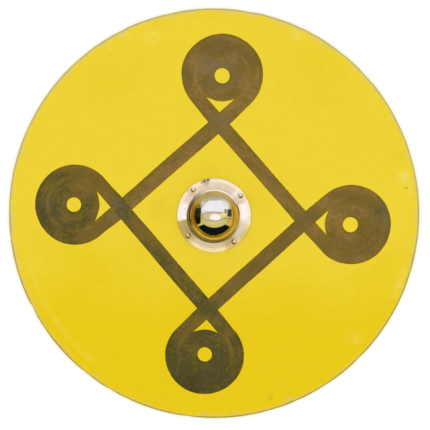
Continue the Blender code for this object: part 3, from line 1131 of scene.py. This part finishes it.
def drill(pieces):
    """Cuts the rivet holes right through the pieces that the rivets hold together."""
    shape = bmesh.new()
    radius = SHANK_RADIUS + HOLE_CLEARANCE
    for name in RIVETS:
        ends = {"radius1": radius, "radius2": radius, "cap_ends": True}
        cutter = bmesh.ops.create_cone(shape, segments=32, depth=CROWN, **ends)
        bmesh.ops.translate(shape, verts=cutter["verts"], vec=(*rivet_centre(name), CROWN / 2))
    cutters = new_object("rivet_holes", shape)
    for piece in pieces:
        holes = piece.modifiers.new("Rivet holes", "BOOLEAN")
        holes.operation = "DIFFERENCE"
        holes.object = cutters
        holes.solver = "MANIFOLD"
        bpy.context.view_layer.update()
        drilled = bpy.data.meshes.new_from_object(piece.evaluated_get(bpy.context.evaluated_depsgraph_get()))
        piece.modifiers.clear()
        piece.data = drilled
    bpy.data.objects.remove(cutters)


RIVET_BRASS = rivet_brass()
RIVET_TAIL_BRASS = dull_brass()
drill([make_board(), make_boss(), make_grip()])
for index, name in enumerate(RIVETS):
    make_rivet(index, name)


# ----- floor, light and camera

FLOOR_TONES = (0.925, 0.925, 0.92), (0.945, 0.945, 0.94)
FLOOR_LIFT = 0.12
LIGHT = (1.06, 1.06, 1.06)
BACKDROP = (0.97, 0.97, 0.97)
CAMERA_DISTANCE = 5.0
CAMERA_TILT = radians(3.2)
CAMERA_AIM = (0.0019, -0.002, 0.0)
FRAME_WIDTH_AT_RIM = 0.9229

# The room that the polished brass mirrors, on a disc where a mirror ball would show it.
# Each patch: its shape, x, y, half its width and height, its softness, tilt in degrees and colour.
ROOM = (0.76, 0.71, 0.44)
SKY = (1.36, 1.66, 2.75)
ROOM_PATCHES = (
    ("box", 0.0, 0.82, 1.0, 0.12, 0.1, 0, (0.66, 0.64, 0.66)),
    ("oval", 0.06, 0.2, 0.55, 0.46, 0.1, 0, SKY),
    ("box", -0.36, 0.22, 0.16, 0.09, 0.04, -8, SKY),
    ("oval", 0.0, 0.68, 0.36, 0.07, 0.8, 0, (0.78, 0.78, 1.0)),
    ("oval", 0.5, 0.5, 0.17, 0.12, 0.9, 45, (1.25, 1.42, 2.05)),
    ("oval", -0.48, 0.49, 0.14, 0.1, 0.9, -45, (1.0, 1.05, 1.45)),
    ("oval", 0.59, -0.6, 0.09, 0.05, 0.7, -45, (1.4, 1.55, 1.7)),
    ("box", 0.0, -0.2, 0.62, 0.31, 0.03, 0, (0.95, 0.98, 0.46)),
    ("box", 0.68, -0.24, 0.16, 0.13, 0.06, 0, (1.0, 0.76, 0.22)),
    ("oval", 0.04, -0.22, 0.34, 0.16, 0.9, 0, (1.09, 1.09, 0.8)),
    ("oval", -0.02, -0.03, 0.49, 0.195, 0.14, 0, (0.52, 0.45, 0.34)),
    ("oval", -0.02, -0.03, 0.46, 0.17, 0.14, 0, (1.02, 1.0, 0.98)),
    ("oval", 0.38, 0.04, 0.13, 0.1, 0.5, 0, (1.35, 1.35, 0.95)),
    ("oval", 0.05, -0.06, 0.22, 0.13, 0.5, 0, (1.62, 1.76, 2.6)),
    ("box", -0.6, 0.36, 0.07, 0.14, 0.1, 0, (0.28, 0.3, 0.22)),
    ("box", -0.66, -0.01, 0.12, 0.32, 0.05, 3, (0.03, 0.05, 0.03)),
    ("box", -0.66, -0.2, 0.11, 0.14, 0.06, 0, (0.014, 0.014, 0.006)),
    ("box", 0.47, 0.18, 0.06, 0.09, 0.04, 0, (0.55, 0.55, 0.45)),
    ("box", 0.63, 0.11, 0.09, 0.15, 0.05, 0, (0.13, 0.09, 0.03)),
    ("box", -0.06, 0.15, 0.44, 0.008, 0.012, 1, (0.4, 0.36, 0.24)),
    ("box", 0.6, -0.12, 0.17, 0.009, 0.012, 2, (0.3, 0.2, 0.06)),
)
# The dark crescent at the foot of the room: it lies outside a circle and below two sloping shoulders
CRESCENT = (0.008, 0.014, 0.016)
CRESCENT_CENTRE = (0.02, 0.29, 0.0)
CRESCENT_RADIUS = 0.776
SHOULDER_TOP = -0.155
SHOULDER_SLOPE = 0.45


def make_floor():
    shape = bmesh.new()
    bmesh.ops.create_grid(shape, x_segments=1, y_segments=1, size=60.0)
    material, place = start_material("pale_floor", specular=0.0)
    tree = material.node_tree
    shader = shader_of(material)
    feed(shader["Base Color"], mix(fade(texture(place, 3.0, 3.0), 0.3, 0.7), *FLOOR_TONES, "RGBA"))
    feed(shader["Roughness"], 0.9)
    # Polished metal mirrors the room below the floor's level too, the light reaches the shield's back,
    # and the floor can be seen through from below
    path = source(tree, "LightPath")
    unseen = source(tree, "NewGeometry")["Backfacing"]
    for ray in ("Is Glossy Ray", "Is Diffuse Ray", "Is Shadow Ray"):
        unseen = most(unseen, path[ray])
    feed(shader["Emission Color"], (1.0, 1.0, 1.0))
    feed(shader["Emission Strength"], path["Is Camera Ray"] * FLOOR_LIFT)
    seen = Wire(tree.nodes["Principled BSDF"].outputs[0])
    mixed = add("MixShader", unseen, seen, source(tree, "BsdfTransparent")[0])
    feed(tree.nodes["Material Output"].inputs["Surface"], mixed[0])
    floor = new_object("floor", shape)
    floor.data.materials.append(material)


def add_patch(place, below, shape, x, y, half_x, half_y, softness, degrees, colour):
    """Lays one soft patch of light over what is below it: an oval, or a box with rounded corners."""
    offset = turn(place - (x, y, 0.0), radians(degrees))
    if shape == "oval":
        edge = 1.0
        reach = length(offset * (1 / half_x, 1 / half_y, 0.0))
    else:
        edge = min(half_x, half_y) * 0.6
        core = (half_x - edge, half_y - edge, 0.0)
        reach = length(most(abs(offset) - core, (0.0, 0.0, 0.0)) * FLAT)
    return lay_coats(below, (fade(reach, edge + softness / 2, edge - softness / 2), colour))


def make_room():
    """An even pale room for the light, with the mirrored patches seen only in reflections."""
    world = bpy.data.worlds.new("room")
    scene.world = world
    world.use_nodes = True
    tree = world.node_tree
    direction = turn(source(tree, "TexCoord")["Generated"], CAMERA_TILT, "X")
    place = unit(direction + UP)
    place = (place + wander(place, 5.0, 3.0) * 0.03) * FLAT
    mirrored = ROOM
    for patch in ROOM_PATCHES:
        mirrored = add_patch(place, mirrored, *patch)
    outside = fade(length(place - CRESCENT_CENTRE), CRESCENT_RADIUS - 0.01, CRESCENT_RADIUS + 0.01)
    shoulder = SHOULDER_TOP - abs(axis_part(place, "X")) * SHOULDER_SLOPE
    below_shoulder = fade(axis_part(place, "Y") - shoulder, 0.01, -0.01)
    mirrored = lay_coats(mirrored, (outside * below_shoulder, CRESCENT))
    path = source(tree, "LightPath")
    seen = lay_coats(LIGHT, (path["Is Glossy Ray"], mirrored), (path["Is Camera Ray"], BACKDROP))
    feed(tree.nodes["Background"].inputs["Color"], seen)


def make_camera():
    """Looks down on the face, leaning a little towards its upper edge."""
    lens = bpy.data.cameras.new("camera")
    lens.lens = lens.sensor_width * CAMERA_DISTANCE / FRAME_WIDTH_AT_RIM
    lens.clip_end = 200.0
    camera = bpy.data.objects.new("camera", lens)
    away = Vector((0.0, sin(CAMERA_TILT), cos(CAMERA_TILT)))
    camera.location = Vector(CAMERA_AIM) + away * CAMERA_DISTANCE
    camera.rotation_euler = (-CAMERA_TILT, 0.0, 0.0)
    scene.collection.objects.link(camera)
    scene.camera = camera


make_floor()
make_room()
make_camera()
scene.view_settings.view_transform = "Standard"
